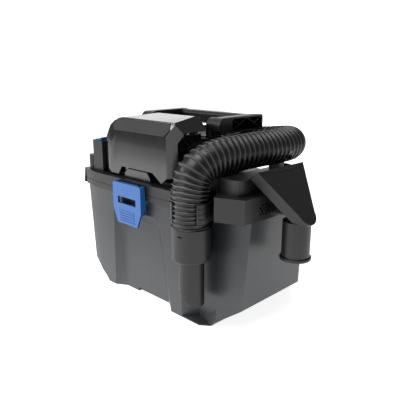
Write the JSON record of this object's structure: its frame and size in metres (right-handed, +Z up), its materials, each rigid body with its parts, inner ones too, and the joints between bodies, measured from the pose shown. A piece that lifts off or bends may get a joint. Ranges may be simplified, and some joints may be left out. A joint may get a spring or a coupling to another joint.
{
  "type": "shop vacuum",
  "caption": "Boxy cordless shop vacuum: tapered tub with latches, black lid carrying a battery cover, fold-down carry handle, ribbed hose with crevice tool and a hung floor nozzle.",
  "frame": {"origin": "middle of the tub's flat base, where it rests on the floor", "axes": "+Z up; +X towards the exhaust and the hung nozzle, along the tub's length; -Y out of the front face with the latch and the battery cover"},
  "size_m": [0.4197, 0.2671, 0.289],
  "materials": {
    "tub_plastic": "satin",
    "black_plastic": "satin",
    "blue_plastic": "satin",
    "cover_plastic": "polished",
    "plate_plastic": "gloss",
    "hose_plastic": "satin",
    "soft_seal": "matt",
    "steel": "plain",
    "motor_steel": "zinc plated",
    "copper": "plain",
    "board": "gloss",
    "filter_paper": "pleated",
    "grey_plastic": "satin"
  },
  "bodies": {
    "tub": {"tub": "tub_plastic", "latch_pins": "steel"},
    "head": {"lid": "black_plastic", "lid_seal": "soft_seal", "hose_tray": "black_plastic", "hose_clip": "black_plastic", "hose_saddle": "black_plastic", "hose": "hose_plastic", "hose_cuff": "black_plastic", "crevice_tool": "black_plastic", "hose_end": "black_plastic", "inlet_duct": "black_plastic", "nozzle_bracket": "black_plastic", "motor_housing": "black_plastic", "housing_screws": "steel", "handle_boss_right": "black_plastic", "handle_boss_left": "black_plastic", "switch_housing": "black_plastic", "accessory_peg": "black_plastic", "cover_hinge_pins": "steel", "intake_grille": "black_plastic", "battery_dock": "black_plastic", "battery_contacts": "copper", "battery_pack": "black_plastic", "handle_pins": "black_plastic", "impeller_housing": "grey_plastic", "exhaust_duct": "grey_plastic", "motor_can": "motor_steel", "motor_bearings": "steel", "motor_mount_ring": "soft_seal", "circuit_board": "board", "float_cage": "grey_plastic"},
    "front_latch": {"front_latch": "blue_plastic"},
    "rear_latch": {"rear_latch": "blue_plastic"},
    "nozzle": {"nozzle": "black_plastic"},
    "power_switch": {"power_switch": "blue_plastic"},
    "battery_cover": {"battery_cover": "cover_plastic", "name_plate": "plate_plastic"},
    "cover_release": {"cover_release": "cover_plastic"},
    "battery_button": {"battery_button": "blue_plastic"},
    "carry_handle": {"handle_arm_left": "black_plastic", "handle_arm_right": "black_plastic", "handle_grip": "black_plastic"},
    "rotor": {"impeller": "grey_plastic", "motor_rotor": "motor_steel"},
    "float_cup": {"float_cup": "grey_plastic"},
    "filter": {"filter_frame": "grey_plastic", "filter_cartridge": "filter_paper"}
  },
  "joints": [
    {"name": "head_lift", "type": "slide", "parent": "tub", "child": "head", "axis": [0, 0, 1], "range_m": [0, 0.2]},
    {"name": "front_latch_hinge", "type": "hinge", "parent": "tub", "child": "front_latch", "pos_m": [-0.041, -0.11, 0.147], "axis": [1, 0, 0], "range_deg": [0, 35]},
    {"name": "rear_latch_hinge", "type": "hinge", "parent": "tub", "child": "rear_latch", "pos_m": [-0.041, 0.11, 0.147], "axis": [-1, 0, 0], "range_deg": [0, 35]},
    {"name": "nozzle_off", "type": "slide", "parent": "head", "child": "nozzle", "axis": [0.7901, 0, 0.613], "range_m": [0, 0.06]},
    {"name": "power_switch_rock", "type": "hinge", "parent": "head", "child": "power_switch", "pos_m": [-0.146, -0.085, 0.238], "axis": [0, 1, 0], "range_deg": [0, 16]},
    {"name": "cover_hinge", "type": "hinge", "parent": "head", "child": "battery_cover", "pos_m": [-0.035, -0.03, 0.278], "axis": [-1, 0, 0], "range_deg": [0, 72]},
    {"name": "cover_release_press", "type": "slide", "parent": "head", "child": "cover_release", "axis": [0, 1, 0], "range_m": [0, 0.003], "stiffness_N_per_m": 400, "springref_m": -0.001},
    {"name": "battery_button_press", "type": "slide", "parent": "head", "child": "battery_button", "axis": [0, 1, 0], "range_m": [0, 0.0025], "stiffness_N_per_m": 400, "springref_m": -0.001},
    {"name": "handle_hinge", "type": "hinge", "parent": "head", "child": "carry_handle", "pos_m": [-0.031, -0.009, 0.273], "axis": [1, 0, 0], "range_deg": [0, 90]},
    {"name": "rotor_spin", "type": "hinge", "parent": "head", "child": "rotor", "pos_m": [-0.038, 0.012, 0.2], "axis": [0, 0, 1], "continuous": true},
    {"name": "float_rise", "type": "slide", "parent": "head", "child": "float_cup", "axis": [0, 0, 1], "range_m": [0, 0.0175]},
    {"name": "filter_off", "type": "slide", "parent": "head", "child": "filter", "axis": [0, 0, -1], "range_m": [0, 0.075]}
  ]
}
